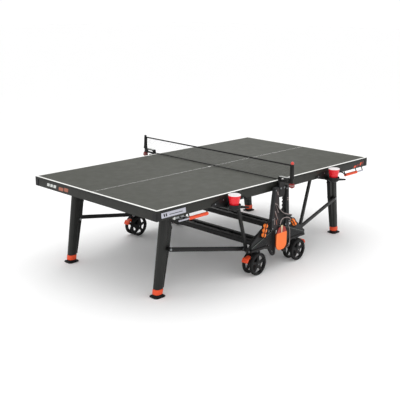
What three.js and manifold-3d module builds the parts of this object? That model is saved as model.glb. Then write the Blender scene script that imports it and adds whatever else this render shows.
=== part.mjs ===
// Folding table tennis table: two half tables on a wheeled centre chassis.
// Millimetres, +Z up, origin on the floor under the middle of the net.
// X runs along the table, Y across it. Pieces are drawn for the right half
// (+X) and the far side (+Y), then mirrored to the left half and near side.
import * as THREE from "three";
import { mergeVertices } from "three/addons/utils/BufferGeometryUtils.js";
import Module from "manifold-3d";

const wasm = await Module();
wasm.setup();

// ---- driving dimensions ----
const LENGTH = 2740;
const WIDTH = 1525;
const HEIGHT = 760;
const TOP_THICK = 20;
const APRON_DEPTH = 80;
const CENTRE_GAP = 2; // from the net line to each half table
const RAIL = 12; // thickness of the apron frame's rails
const TOUCH = 0.3; // gap between pieces that rest on each other
const SLIVER = 0.02; // detail smaller than this is merged away

// fold linkage of the right half, in the XZ plane
const GUIDE = { x: 30, z: 690 }; // inner guide axle
const GUIDE_DROP = { x: 113, z: -472.6 }; // its travel down the slot
const LEG_PIVOT = { x: 1100, z: 690 };
const PROP_TOP = { x: 492, z: 690 };
const BASE_PIN = { x: 356, z: 228 }; // shared by prop and leg strut
const STRUT_TOP = { x: 1090.5, z: 372 };
const FRAME_BOTTOM_LUG = 664;

// planes across the table, measured from the centre line
const SIDE_RAIL_Y = [748, 760];
const INNER_RAIL_Y = [488, 500];
const EAR_RAIL_Y = [606, 618];
const LEG_Y = 553;
const PROP_Y = [722, 744];
const GUIDE_PLATE_Y = [766, 776];
const UPRIGHT_Y = [775, 812];
const PANEL_Y = [783, 789];
const TUBE_Y = 787;
const POST_Y = 904; // the posts reach 915, a net overhang of 152.5 each side

// leg posts, which lean outwards towards the floor
const LEG_SIZE = { x: 75, y: 62, corner: 14 };
const LEG_LEAN = 0.1266;
const LEG_AXIS_X = 1092.5; // centre line at the height of the pivot
const LEG_TOP = 702;
const COLLAR_Z = [22.3, 64];
const PAD_X = 1178;

// casters
const CASTER = { x: 256, y: 750, trail: 14, wheel: 96, axleZ: 96 };
const WHEEL_Y = [27, 53];
const FORK_HALF = 25;
const FORK_TOP = 203;

// things that hang on the near side
const CUP_X = { left: -617, right: 720 };
const CUP_Y = -824;
const HANDLE_X = { left: -932, right: 1117 }; // middle of the grip
const BAT = { x: -8, y: -820, z: 247, across: 71, up: 79, thick: 12 };

const paint = (color, roughness, metalness) =>
  new THREE.MeshStandardMaterial({ color, roughness, metalness });
const looks = {
  top: paint(0x4e4f49, 0.55, 0),
  frame: paint(0x33342f, 0.5, 0.3),
  black: paint(0x1c1c1d, 0.45, 0.3),
  plastic: paint(0x161617, 0.55, 0),
  orange: paint(0xeb5a3c, 0.5, 0),
  red: paint(0xe12832, 0.4, 0),
  net: paint(0x202020, 0.9, 0),
  bat: paint(0xff823c, 0.6, 0),
};

// ---- solid helpers ----
function solid(geometry) {
  const bare = geometry.clone();
  bare.deleteAttribute("normal");
  bare.deleteAttribute("uv");
  const merged = mergeVertices(bare, 1e-4);
  return new wasm.Manifold(
    new wasm.Mesh({
      numProp: 3,
      vertProperties: new Float32Array(merged.attributes.position.array),
      triVerts: new Uint32Array(merged.index.array),
    })
  );
}

// joins leave slivers along shared planes, so flat neighbours are merged first
function toGeometry(body) {
  const mesh = body.asOriginal().simplify(SLIVER).getMesh();
  const geometry = new THREE.BufferGeometry();
  geometry.setAttribute("position", new THREE.BufferAttribute(mesh.vertProperties, 3));
  geometry.setIndex(new THREE.BufferAttribute(mesh.triVerts, 1));
  return geometry;
}

const join = (...bodies) => bodies.reduce((all, one) => all.add(one));
const cut = (body, ...holes) => holes.reduce((rest, hole) => rest.subtract(hole), body);

function box([x0, x1], [y0, y1], [z0, z1]) {
  const geometry = new THREE.BoxGeometry(x1 - x0, y1 - y0, z1 - z0);
  return solid(geometry.translate((x0 + x1) / 2, (y0 + y1) / 2, (z0 + z1) / 2));
}

function outline(points) {
  return new THREE.Shape(points.map(([x, y]) => new THREE.Vector2(x, y)));
}

function roundedOutline(width, depth, radius) {
  const [a, b] = [width / 2, depth / 2];
  const shape = new THREE.Shape();
  shape.absarc(a - radius, b - radius, radius, 0, Math.PI / 2);
  shape.absarc(radius - a, b - radius, radius, Math.PI / 2, Math.PI);
  shape.absarc(radius - a, radius - b, radius, Math.PI, 1.5 * Math.PI);
  shape.absarc(a - radius, radius - b, radius, 1.5 * Math.PI, 2 * Math.PI);
  return shape;
}

// a shape drawn in X and Y, raised from z0 to z1
function slab(shape, [z0, z1], curveSegments = 2) {
  const options = { depth: z1 - z0, bevelEnabled: false, curveSegments };
  return solid(new THREE.ExtrudeGeometry(shape, options).translate(0, 0, z0));
}

// a shape drawn in X and Z, standing between y0 and y1
function plate(shape, [y0, y1], curveSegments = 3) {
  const options = { depth: y1 - y0, bevelEnabled: false, curveSegments };
  const geometry = new THREE.ExtrudeGeometry(shape, options);
  return solid(geometry.rotateX(Math.PI / 2).translate(0, y1, 0));
}

function rod(from, to, radius, sides = 12) {
  const start = new THREE.Vector3(...from);
  const along = new THREE.Vector3(...to).sub(start);
  const geometry = new THREE.CylinderGeometry(radius, radius, along.length(), sides);
  const turn = new THREE.Quaternion();
  turn.setFromUnitVectors(new THREE.Vector3(0, 1, 0), along.clone().normalize());
  geometry.applyQuaternion(turn);
  const middle = start.addScaledVector(along, 0.5);
  return solid(geometry.translate(middle.x, middle.y, middle.z));
}

const crossRod = ({ x, z }, [y0, y1], radius, sides = 12) =>
  rod([x, y0, z], [x, y1, z], radius, sides);

// a body of revolution about an upright axis, from [radius, z] points
function turned(profile, x, y, sides = 18) {
  const points = profile.map(([r, z]) => new THREE.Vector2(r, z));
  const geometry = new THREE.LatheGeometry(points, sides);
  return solid(geometry.rotateX(Math.PI / 2).translate(x, y, 0));
}

// a bar of rectangular section between two points of the XZ plane
function bar(from, to, width, ys) {
  const [dx, dz] = [to.x - from.x, to.z - from.z];
  const length = Math.hypot(dx, dz);
  const [nx, nz] = [(-dz / length) * (width / 2), (dx / length) * (width / 2)];
  const corners = [
    [from.x - nx, from.z - nz],
    [to.x - nx, to.z - nz],
    [to.x + nx, to.z + nz],
    [from.x + nx, from.z + nz],
  ];
  return plate(outline(corners), ys);
}

const mirrorBothSides = (body) => join(body, body.mirror([0, 1, 0]));

// ---- half table ----
function playingTop() {
  const [inner, outer, side, corner] = [CENTRE_GAP, LENGTH / 2, WIDTH / 2, 12];
  const shape = new THREE.Shape();
  shape.moveTo(inner, side);
  shape.lineTo(inner, -side);
  shape.absarc(outer - corner, corner - side, corner, -Math.PI / 2, 0);
  shape.absarc(outer - corner, side - corner, corner, 0, Math.PI / 2);
  return slab(shape, [HEIGHT - TOP_THICK, HEIGHT]);
}

function apronFrame(handleX) {
  const under = HEIGHT - TOP_THICK - TOUCH;
  const bottom = HEIGHT - APRON_DEPTH;
  const shallow = bottom + 10;
  const end = LENGTH / 2 - 4;
  const sideY = SIDE_RAIL_Y[1];
  const oneSide = join(
    box([CENTRE_GAP, end], SIDE_RAIL_Y, [bottom, under]),
    box([8, end - 4], INNER_RAIL_Y, [shallow, under]),
    box([1040, end - 4], EAR_RAIL_Y, [shallow, under]),
    box([8, 52], SIDE_RAIL_Y, [FRAME_BOTTOM_LUG, bottom + 6]),
    box([PROP_TOP.x - 24, PROP_TOP.x + 24], [704, 712], [FRAME_BOTTOM_LUG, under]),
    box([PROP_TOP.x - 24, PROP_TOP.x + 24], [704, 750], [under - 14, under]),
    ...[INNER_RAIL_Y, EAR_RAIL_Y].map((ys) =>
      box([LEG_PIVOT.x - 24, LEG_PIVOT.x + 24], ys, [FRAME_BOTTOM_LUG, shallow + 6])
    )
  );
  const across = [
    box([end - RAIL, end], [-sideY, sideY], [bottom, under]),
    box([CENTRE_GAP, CENTRE_GAP + RAIL], [-sideY, sideY], [shallow, under]),
    box([194, 206], [-sideY, sideY], [shallow, under]),
    box([614, 626], [-sideY, sideY], [shallow, under]),
  ];
  const handleLugs = HANDLE.lugs.map((offset) => {
    const centre = handleX + offset;
    return box([centre - 4, centre + 4], [-750, -718], [HANDLE.z - 10, under]);
  });
  return cut(
    join(mirrorBothSides(oneSide), ...across, ...handleLugs),
    crossRod(GUIDE, [-770, 770], 11.4),
    crossRod(LEG_PIVOT, [-630, 630], 13.4),
    rod([handleX - 130, HANDLE.y, HANDLE.z], [handleX + 225, HANDLE.y, HANDLE.z], 5, 12)
  );
}

// stepped axle: thick across the table, thin where it runs in the guide slots
function guideAxle() {
  return join(crossRod(GUIDE, [-762, 762], 10), crossRod(GUIDE, [-773, 773], 7));
}

const legAxle = () => crossRod(LEG_PIVOT, [-622, 622], 12);

// ---- legs ----
const lean = (offset, z) => LEG_AXIS_X + offset + LEG_LEAN * (LEG_PIVOT.z - z);

function leaningPost(width, depth, corner, zs) {
  const section = roundedOutline(width, depth, corner);
  const geometry = new THREE.ExtrudeGeometry(section, {
    depth: zs[1] - zs[0],
    bevelEnabled: false,
    curveSegments: 2,
  });
  geometry.translate(0, LEG_Y, zs[0]);
  const places = geometry.attributes.position;
  for (let i = 0; i < places.count; i++) {
    places.setX(i, lean(places.getX(i), places.getZ(i)));
  }
  return solid(geometry);
}

const STEM = { x: 1172, radius: 9, top: 112 };

// round post with a thinner fin along its inner side, deeper towards the top
function legPost() {
  const bottom = COLLAR_Z[1] + TOUCH;
  const fin = outline([
    [1165, bottom],
    [1134, bottom],
    [1040, 528],
    [1058, 562],
    [1064, 668],
    [1095, 668],
  ]);
  const post = join(
    leaningPost(LEG_SIZE.x, LEG_SIZE.y, LEG_SIZE.corner, [bottom, LEG_TOP]),
    plate(fin, [LEG_Y - 22, LEG_Y + 22]),
    crossRod(STRUT_TOP, [LEG_Y + 20, 590.5], 15)
  );
  const stemBore = rod([STEM.x, LEG_Y, 50], [STEM.x, LEG_Y, STEM.top + 4], STEM.radius + 1);
  return cut(post, crossRod(LEG_PIVOT, [500, 600], 13.4), stemBore);
}

function levellingCollar() {
  const ring = leaningPost(LEG_SIZE.x + 5, LEG_SIZE.y + 5, LEG_SIZE.corner + 2, COLLAR_Z);
  return cut(ring, rod([STEM.x, LEG_Y, 10], [STEM.x, LEG_Y, 90], STEM.radius + 0.4));
}

function footPad() {
  const pad = slab(roundedOutline(108, 94, 20), [0, 8]).translate([PAD_X, LEG_Y, 0]);
  const waist = slab(roundedOutline(84, 72, 20), [7, 22]).translate([PAD_X - 2, LEG_Y, 0]);
  return join(pad, waist, rod([STEM.x, LEG_Y, 15], [STEM.x, LEG_Y, STEM.top], STEM.radius));
}

// ---- folding bars between chassis and half table ----
function topProp() {
  return cut(
    join(
      bar(BASE_PIN, PROP_TOP, 28, PROP_Y),
      crossRod(BASE_PIN, PROP_Y, 20),
      crossRod(PROP_TOP, PROP_Y, 16)
    ),
    crossRod(BASE_PIN, [700, 760], 11.3)
  );
}

function legStrut() {
  const baseY = 700;
  const topY = 604;
  const direction = new THREE.Vector3(
    STRUT_TOP.x - BASE_PIN.x,
    topY - baseY,
    STRUT_TOP.z - BASE_PIN.z
  ).normalize();
  const start = new THREE.Vector3(BASE_PIN.x, baseY, BASE_PIN.z).addScaledVector(direction, 12);
  const finish = new THREE.Vector3(STRUT_TOP.x, topY, STRUT_TOP.z).addScaledVector(direction, -8);
  return cut(
    join(
      rod(start.toArray(), finish.toArray(), 12.5, 12),
      crossRod(BASE_PIN, [693, 707], 20),
      crossRod(STRUT_TOP, [592, 614], 17)
    ),
    crossRod(BASE_PIN, [680, 720], 11.3)
  );
}

// ---- chassis ----
const POST_BASE_Z = [758, 763.7]; // foot plate of the net posts, on top of the towers
const slotEnd = { x: GUIDE.x + GUIDE_DROP.x, z: GUIDE.z + GUIDE_DROP.z };
const slotLength = Math.hypot(GUIDE_DROP.x, GUIDE_DROP.z);
const alongSlot = (distance) => ({
  x: GUIDE.x + (GUIDE_DROP.x / slotLength) * distance,
  z: GUIDE.z + (GUIDE_DROP.z / slotLength) * distance,
});

function bentTube() {
  const corners = [
    [60, 410],
    [60, 134],
    [86, 134],
    [148, 221],
    [352, 221],
  ].map(([x, z]) => new THREE.Vector3(x, TUBE_Y, z));
  const bends = [22, 12, 26];
  const path = new THREE.CurvePath();
  let last = corners[0];
  bends.forEach((setback, i) => {
    const corner = corners[i + 1];
    const before = corner.clone().lerp(last, setback / corner.distanceTo(last));
    const next = corners[i + 2];
    const after = corner.clone().lerp(next, setback / corner.distanceTo(next));
    path.add(new THREE.LineCurve3(last, before));
    path.add(new THREE.QuadraticBezierCurve3(before, corner, after));
    last = after;
  });
  path.add(new THREE.LineCurve3(last, corners[4]));
  const section = new THREE.Shape().absarc(0, 0, 12.5, 0, 2 * Math.PI);
  const options = { steps: 26, extrudePath: path, curveSegments: 4 };
  return solid(new THREE.ExtrudeGeometry(section, options));
}

// the two uprights of a tower differ: one is broad, one narrow with notches
function broadUpright() {
  return plate(
    outline([
      [22, 716],
      [92, 716],
      [112, 560],
      [128, 430],
      [128, 356],
      [40, 356],
      [25, 430],
    ]),
    UPRIGHT_Y
  );
}

function notchedUpright() {
  const upright = plate(
    outline([
      [44, 716],
      [84, 716],
      [94, 560],
      [104, 430],
      [104, 356],
      [47, 356],
      [47, 430],
      [50, 560],
    ]),
    UPRIGHT_Y
  );
  const notches = [0, 1, 2, 3, 4].map((i) =>
    crossRod({ x: 47, z: 590 - 24 * i }, [760, 820], 7, 8)
  );
  return cut(upright, ...notches);
}

function sideFrame() {
  const arm = bar(alongSlot(-24), alongSlot(slotLength + 18), 48, GUIDE_PLATE_Y);
  const foot = plate(
    outline([
      [126, 207],
      [382, 207],
      [382, 252],
      [312, 302],
      [126, 302],
    ]),
    GUIDE_PLATE_Y
  );
  const pinPlate = box([330, 382], [752, 770], [207, 252]);
  const quadrant = join(
    arm,
    foot,
    pinPlate,
    bentTube(),
    crossRod(BASE_PIN, [680, 756], 10),
    crossRod(BASE_PIN, [674, 683], 16),
    box([276, 300], [736, 768], [293, 306]),
    rod([118, 790, 448], [288, 745, 301], 9, 10)
  );
  const gusset = box([-52, 30], [779, 800], [622, POST_BASE_Z[0] - TOUCH]);
  const web = box([-60, 40], [780, 800], [390, 508]);
  const slot = join(
    bar(GUIDE, slotEnd, 17, [760, UPRIGHT_Y[0]]),
    crossRod(GUIDE, [760, UPRIGHT_Y[0]], 8.5),
    crossRod(slotEnd, [760, UPRIGHT_Y[0]], 8.5)
  );
  const right = cut(join(quadrant, broadUpright()), slot);
  const left = cut(join(quadrant, notchedUpright()), slot);
  return join(right, left.mirror([1, 0, 0]), gusset, web);
}

function sidePanel() {
  return plate(
    outline([
      [73.5, 354],
      [73.5, 166],
      [89, 166],
      [131, 225],
      [148, 236],
      [354, 236],
      [354, 246],
    ]),
    PANEL_Y
  );
}

// two beams with rungs, and a socket for each caster's stem under the outer beam
function chassisLadder() {
  const half = GUIDE_PLATE_Y[0] - TOUCH;
  const socket = cut(
    box([222, 290], [712, half], [207, 256]),
    rod([CASTER.x, CASTER.y, 200], [CASTER.x, CASTER.y, 234], 11.4)
  );
  const beams = [
    box([257, 302], [-half, half], [250, 292]),
    box([178, 222], [-half, half], [252, 294]),
  ];
  const rungs = [-420, 0, 420].map((y) => box([220, 259], [y - 20, y + 20], [256, 288]));
  return join(...beams, ...rungs, mirrorBothSides(socket));
}

// ---- casters, drawn about the swivel axis ----
const AXLE = { x: CASTER.trail, z: CASTER.axleZ };
const PEDAL_PIVOT = { x: 72, z: 160 };

function casterFork() {
  const shape = outline([
    [-34, 192],
    [-30, 196],
    [40, 196],
    [84, 172],
    [86, 150],
    [62, 140],
    [44, 80],
    [16, 66],
    [-8, 80],
    [-26, 160],
  ]);
  const body = plate(shape, [-FORK_HALF, FORK_HALF]);
  const pedalRoom = box([56, 100], [-20, 20], [138, 190]);
  return cut(
    join(
      cut(body, pedalRoom),
      rod([0, 0, 190], [0, 0, FORK_TOP], 26, 20),
      rod([0, 0, 195], [0, 0, 231], 10),
      crossRod(PEDAL_PIVOT, [-23, 23], 5, 10)
    ),
    crossRod(AXLE, [-50, 50], 9.4)
  );
}

function spokedWheel() {
  const [rimIn, hub, spokes] = [77, 24, 5];
  const tyre = crossRod(AXLE, WHEEL_Y, CASTER.wheel, 24);
  const step = (2 * Math.PI) / spokes;
  const windows = Array.from({ length: spokes }, (_, i) => {
    const middle = i * step + Math.PI / 2 + step / 2;
    const [wide, narrow] = [0.4 * step, 0.22 * step];
    const shape = new THREE.Shape();
    shape.absarc(AXLE.x, AXLE.z, rimIn, middle - wide, middle + wide);
    shape.absarc(AXLE.x, AXLE.z, hub + 10, middle + narrow, middle - narrow, true);
    return plate(shape, [WHEEL_Y[0] - 5, WHEEL_Y[1] + 5], 2);
  });
  return cut(tyre, ...windows);
}

function wheelPair() {
  const wheel = spokedWheel();
  return join(wheel, wheel.mirror([0, 1, 0]), crossRod(AXLE, [-30, 30], 8));
}

function brakePedal() {
  const arm = outline([
    [62, 152],
    [62, 168],
    [80, 172],
    [120, 162],
    [120, 146],
    [78, 150],
  ]);
  const tread = outline([
    [116, 163],
    [128, 158],
    [142, 130],
    [134, 124],
    [116, 146],
  ]);
  return cut(
    join(plate(arm, [-19, 19]), plate(tread, [-30, 30])),
    crossRod(PEDAL_PIVOT, [-40, 40], 6, 10)
  );
}

// ---- net ----
const POST_TOP = { near: 914, far: 926 };
const CORD_BALL = { radius: 14, y: 901, z: 924 }; // tightens the net's cord, on the near post

// two cheeks hold the net's end between the table's edge and the post
function netPost(side) {
  const cheek = box([3, 14], [766, POST_Y], [POST_BASE_Z[1] - 1, 797]);
  const post = join(
    cheek,
    cheek.mirror([1, 0, 0]),
    box([-14, 14], [766, POST_Y + 11], POST_BASE_Z),
    rod([0, POST_Y, 716], [0, POST_Y, POST_BASE_Z[1]], 8, 12),
    rod([0, POST_Y, POST_BASE_Z[0]], [0, POST_Y, POST_TOP[side]], 11, 14)
  );
  return side === "near" ? post.add(cordBall()) : post;
}

function cordBall() {
  const { radius, y, z } = CORD_BALL;
  const steps = 8;
  const profile = Array.from({ length: steps + 1 }, (_, i) => {
    const angle = (Math.PI * i) / steps;
    return [radius * Math.sin(angle), z - radius * Math.cos(angle)];
  });
  return turned(profile, 0, y, 16);
}

const netKnob = () =>
  turned([[9, 722], [20, 722], [24, 728], [24, 751], [20, 757.5], [9, 757.5], [9, 722]], 0, POST_Y);

const netBand = () => box([-2, 2], [11.5 - POST_Y, POST_Y - 11.5], [764, 912.5]);

// ---- cup holders, cups, bat and release handles on the near side ----
const CUP = { base: 672, height: 88, low: 35, high: 50, wall: 1.6 };

// a dish for a cup, with a long wing to one side and two prongs to the other
function cupHolder(x) {
  const floor = CUP.base - TOUCH;
  const dishProfile = [[0, 640], [36, 640], [52, 656], [52, 683], [46, 683], [46, floor], [0, floor]];
  const backY = -SIDE_RAIL_Y[1] - TOUCH;
  const wing = outline([
    [x - 190, 688],
    [x - 190, 700],
    [x - 88, 728],
    [x + 62, 728],
    [x + 80, 700],
    [x + 200, 700],
    [x + 200, 684],
    [x + 80, 684],
    [x + 50, 648],
    [x - 12, 646],
  ]);
  const longProng = outline([
    [x + 30, -786],
    [x + 60, -790],
    [x + 110, -882],
    [x + 98, -888],
    [x + 30, -850],
  ]);
  return join(
    turned(dishProfile, x, CUP_Y),
    plate(wing, [backY - 6, backY]),
    box([x - 44, x + 44], [backY - 30, backY - 4], [650, 662]),
    slab(longProng, [645, 657]),
    rod([x + 184, backY - 3, 690], [x + 190, -830, 670], 5.5, 10)
  );
}

function cup(x) {
  const { base, height, low, high, wall } = CUP;
  const profile = [
    [0, base],
    [low, base],
    [high, base + height],
    [high - wall, base + height],
    [low - wall, base + wall],
    [0, base + wall],
  ];
  return turned(profile, x, CUP_Y);
}

function bat() {
  const shape = new THREE.Shape();
  shape.moveTo(14, 104);
  shape.lineTo(14, 163);
  shape.lineTo(-14, 163);
  shape.lineTo(-14, 104);
  shape.lineTo(-34, 75);
  shape.absellipse(0, 0, BAT.across, BAT.up, 2.04, Math.PI * 2 + 1.1);
  const flat = plate(shape, [-BAT.thick / 2, BAT.thick / 2], 10);
  return flat.translate([BAT.x, BAT.y, BAT.z]);
}

const HANDLE = {
  y: -728,
  z: 690,
  gripY: -748,
  gripZ: 643,
  arms: [-95, 95, 200],
  lugs: [-104, 104, 209],
};

// grip between the first two arms, bare bar out to the third, nearer the table's end
function releaseHandle(x) {
  const outward = Math.sign(x);
  const at = (offset, y, z) => [x + outward * offset, y, z];
  const { y, z, gripY, gripZ } = HANDLE;
  return join(
    ...HANDLE.arms.map((offset) => rod(at(offset, y, z), at(offset, gripY, gripZ), 4.6, 10)),
    rod(at(-99, gripY, gripZ), at(99, gripY, gripZ), 10, 14),
    rod(at(95, gripY, gripZ), at(204, gripY, gripZ), 7, 12),
    rod(at(-107, y, z), at(212, y, z), 4, 10)
  );
}

// ---- assembly ----
const table = new THREE.Group();

function add(name, body, look, sx = 1, sy = 1, parent = table) {
  const holder = new THREE.Group();
  holder.scale.set(sx, sy, 1);
  const mesh = new THREE.Mesh(toGeometry(body), looks[look]);
  mesh.name = name;
  holder.add(mesh);
  parent.add(holder);
}

const halves = [["left", -1], ["right", 1]];
const sides = [["near", -1], ["far", 1]];

for (const [half, sx] of halves) {
  add(`playing_top_${half}`, playingTop(), "top", sx);
  add(`apron_frame_${half}`, apronFrame(sx * HANDLE_X[half]), "frame", sx);
  add(`guide_axle_${half}`, guideAxle(), "black", sx);
  add(`leg_axle_${half}`, legAxle(), "black", sx);
  add(`chassis_ladder_${half}`, chassisLadder(), "black", sx);
  add(`cup_holder_${half}`, cupHolder(CUP_X[half]), "plastic");
  add(`cup_${half}`, cup(CUP_X[half]), "red");
  add(`release_handle_${half}`, releaseHandle(HANDLE_X[half]), "orange");
  for (const [side, sy] of sides) {
    const place = `${half}_${side}`;
    add(`leg_${place}`, legPost(), "black", sx, sy);
    add(`levelling_collar_${place}`, levellingCollar(), "orange", sx, sy);
    add(`foot_pad_${place}`, footPad(), "plastic", sx, sy);
    add(`top_prop_${place}`, topProp(), "black", sx, sy);
    add(`leg_strut_${place}`, legStrut(), "black", sx, sy);
    add(`side_panel_${place}`, sidePanel(), "plastic", sx, sy);
    const swivel = new THREE.Group();
    swivel.position.set(sx * CASTER.x, sy * CASTER.y, 0);
    table.add(swivel);
    add(`caster_fork_${place}`, casterFork(), "plastic", sx, sy, swivel);
    add(`wheel_pair_${place}`, wheelPair(), "plastic", sx, sy, swivel);
    add(`brake_pedal_${place}`, brakePedal(), "orange", sx, sy, swivel);
  }
}
for (const [side, sy] of sides) {
  add(`side_frame_${side}`, sideFrame(), "black", sy, sy);
  add(`net_post_${side}`, netPost(side), "black", 1, sy);
  add(`net_knob_${side}`, netKnob(), "orange", 1, sy);
}
add("net", netBand(), "net");
add("bat", bat(), "bat");

export default table;
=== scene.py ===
"""Looks for the folding table tennis table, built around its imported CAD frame.

Shapes are drawn in millimetres for the right half (+X) and the far side (+Y), then
mirrored to the left half and the near side, as the CAD part is.
"""

import math

import bmesh
import bpy
from mathutils import Matrix, Vector


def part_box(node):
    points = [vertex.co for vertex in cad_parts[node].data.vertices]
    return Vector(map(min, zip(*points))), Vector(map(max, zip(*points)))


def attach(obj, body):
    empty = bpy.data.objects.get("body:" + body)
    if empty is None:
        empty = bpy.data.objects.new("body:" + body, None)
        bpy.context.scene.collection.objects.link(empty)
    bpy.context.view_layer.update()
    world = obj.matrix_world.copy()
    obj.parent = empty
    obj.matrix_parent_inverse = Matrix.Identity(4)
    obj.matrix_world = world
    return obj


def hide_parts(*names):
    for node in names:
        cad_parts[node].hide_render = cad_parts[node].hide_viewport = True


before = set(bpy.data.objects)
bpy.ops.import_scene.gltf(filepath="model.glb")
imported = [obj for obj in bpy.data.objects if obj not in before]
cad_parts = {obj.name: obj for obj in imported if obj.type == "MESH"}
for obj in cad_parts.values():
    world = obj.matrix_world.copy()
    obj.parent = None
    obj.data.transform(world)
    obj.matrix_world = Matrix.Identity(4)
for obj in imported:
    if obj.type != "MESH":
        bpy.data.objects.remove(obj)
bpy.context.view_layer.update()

MM = 0.001
BUMP_HEIGHT = 0.0004  # metres
SHARP_ANGLE = math.radians(38)
HALVES = {"left": -1, "right": 1}
SIDES = {"near": -1, "far": 1}


# ---- sizes shared with the CAD part, in millimetres ----
def box_mm(node):
    low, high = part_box(node)
    return [v / MM for v in low], [v / MM for v in high]


def middle_mm(node):
    low, high = box_mm(node)
    return [(a + b) / 2 for a, b in zip(low, high)]


TOP_LOW, TOP_HIGH = box_mm("playing_top_right")
END_X, EDGE_Y, TOP_Z = TOP_HIGH
INNER_X = TOP_LOW[0]
UNDER_Z = TOP_LOW[2]
LINE_WIDTH = 20
CENTRE_LINE = 3
APRON_END_X = box_mm("apron_frame_right")[1][0]
APRON_Y = 760
APRON_LOW_Z = 680

GUIDE = (30, 690)
SLOT_END = (143, 217.4)
LEG_PIVOT = (1100, 690)
PROP_TOP = (492, 690)
BASE_PIN = (356, 228)
STRUT_TOP = (1090.5, 372)
LEG_Y = 553
LEG_SIZE = (75, 62)
LEG_TOP_Z = 702
LEG_MIDDLE_X, LEG_SPLAY = 1092.5, 0.1266
COLLAR_Z = (22.3, 64)
PAD_X = 1178
STEM_X = 1172
CASTER = (256, 750)
AXLE = (14, 96)
PEDAL_PIVOT = (72, 160)
TUBE_Y = 787
POST_Y = 904
CUP_Y = -824


# ---- finishes ----
def linear(code):
    """A six-digit sRGB colour code as linear red, green, blue and alpha."""
    parts = [int(code[i:i + 2], 16) / 255 for i in (0, 2, 4)]
    return [c / 12.92 if c <= 0.04045 else ((c + 0.055) / 1.055) ** 2.4 for c in parts] + [1]


def shaded(colour, factor):
    return [min(1, c * factor) for c in colour[:3]] + [1]


class Finish:
    """A procedural material: cloudy colour, uneven roughness and a fine raised grain."""

    def __init__(self, name, code, rough, metal=0.0, tint=0.12, cloud=7, spread=0.07,
                 grain=0.12, grain_size=1.2, stretch=(1, 1, 1), coat=0.0, gloss=0.3):
        self.material = bpy.data.materials.new(name)
        self.material.use_nodes = True
        tree = self.material.node_tree
        self.nodes, self.links = tree.nodes, tree.links
        self.shader = self.nodes["Principled BSDF"]
        self.shader.inputs["Metallic"].default_value = metal
        self.shader.inputs["Coat Weight"].default_value = coat
        self.shader.inputs["Coat Roughness"].default_value = 0.12
        self.shader.inputs["Specular IOR Level"].default_value = gloss
        self.place = self.nodes.new("ShaderNodeTexCoord").outputs["Object"]
        mapping = self.node("ShaderNodeMapping", Vector=self.place)
        mapping.inputs["Scale"].default_value = stretch
        self.place_mapped = mapping.outputs["Vector"]
        self.base = linear(code)
        clouds = self.noise(cloud, 5, 0.6)
        self.colour = self.ramp(clouds, shaded(self.base, 1 - tint), shaded(self.base, 1 + tint))
        self.link(self.colour, "Base Color")
        patches = self.noise(cloud * 5, 3, 0.5)
        self.link(self.spread(patches, max(0.04, rough - spread), min(1, rough + spread)), "Roughness")
        fine = self.noise(1000 / grain_size, 3, 0.55)
        self.bump(fine, grain)

    def node(self, kind, **inputs):
        made = self.nodes.new(kind)
        for name, value in inputs.items():
            self.links.new(value, made.inputs[name])
        return made

    def link(self, output, socket):
        self.links.new(output, self.shader.inputs[socket])

    def noise(self, scale, detail, roughness, place=None):
        made = self.node("ShaderNodeTexNoise", Vector=place or self.place_mapped)
        made.inputs["Scale"].default_value = scale
        made.inputs["Detail"].default_value = detail
        made.inputs["Roughness"].default_value = roughness
        return made.outputs["Fac"]

    def ramp(self, factor, low, high, at=(0.3, 0.7)):
        made = self.node("ShaderNodeValToRGB", Fac=factor)
        for element, colour, position in zip(made.color_ramp.elements, (low, high), at):
            element.color, element.position = colour, position
        return made.outputs["Color"]

    def spread(self, factor, low, high):
        made = self.node("ShaderNodeMapRange", Value=factor)
        for name, value in (("From Min", 0.3), ("From Max", 0.7), ("To Min", low), ("To Max", high)):
            made.inputs[name].default_value = value
        return made.outputs["Result"]

    def maths(self, operation, first, second=None):
        made = self.nodes.new("ShaderNodeMath")
        made.operation = operation
        for socket, value in zip(made.inputs, (first, second)):
            if value is None:
                continue
            if isinstance(value, (int, float)):
                socket.default_value = value
            else:
                self.links.new(value, socket)
        return made.outputs[0]

    def bump(self, height, strength):
        made = self.node("ShaderNodeBump", Height=height)
        made.inputs["Strength"].default_value = strength
        made.inputs["Distance"].default_value = BUMP_HEIGHT
        before = self.shader.inputs["Normal"].links
        if before:
            self.links.new(before[0].from_socket, made.inputs["Normal"])
        self.link(made.outputs["Normal"], "Normal")

    def axes(self):
        split = self.node("ShaderNodeSeparateXYZ", Vector=self.place)
        return [split.outputs[name] for name in "XYZ"]

    def threads(self, coordinate, pitch, width):
        """1 on a thread of that width, in metres, and 0 between threads."""
        turn = self.maths("FRACT", self.maths("MULTIPLY", coordinate, 1 / pitch))
        away = self.maths("ABSOLUTE", self.maths("SUBTRACT", turn, 0.5))
        return self.maths("LESS_THAN", away, 0.5 * width / pitch)

    def weave(self, first, second, pitch, strength):
        """The raised over-and-under of a plain weave."""
        waves = [
            self.maths("SINE", self.maths("MULTIPLY", axis, math.tau / pitch)) for axis in (first, second)
        ]
        self.bump(self.maths("MULTIPLY", *waves), strength)


def finish(*look, **more):
    return Finish(*look, **more).material


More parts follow.
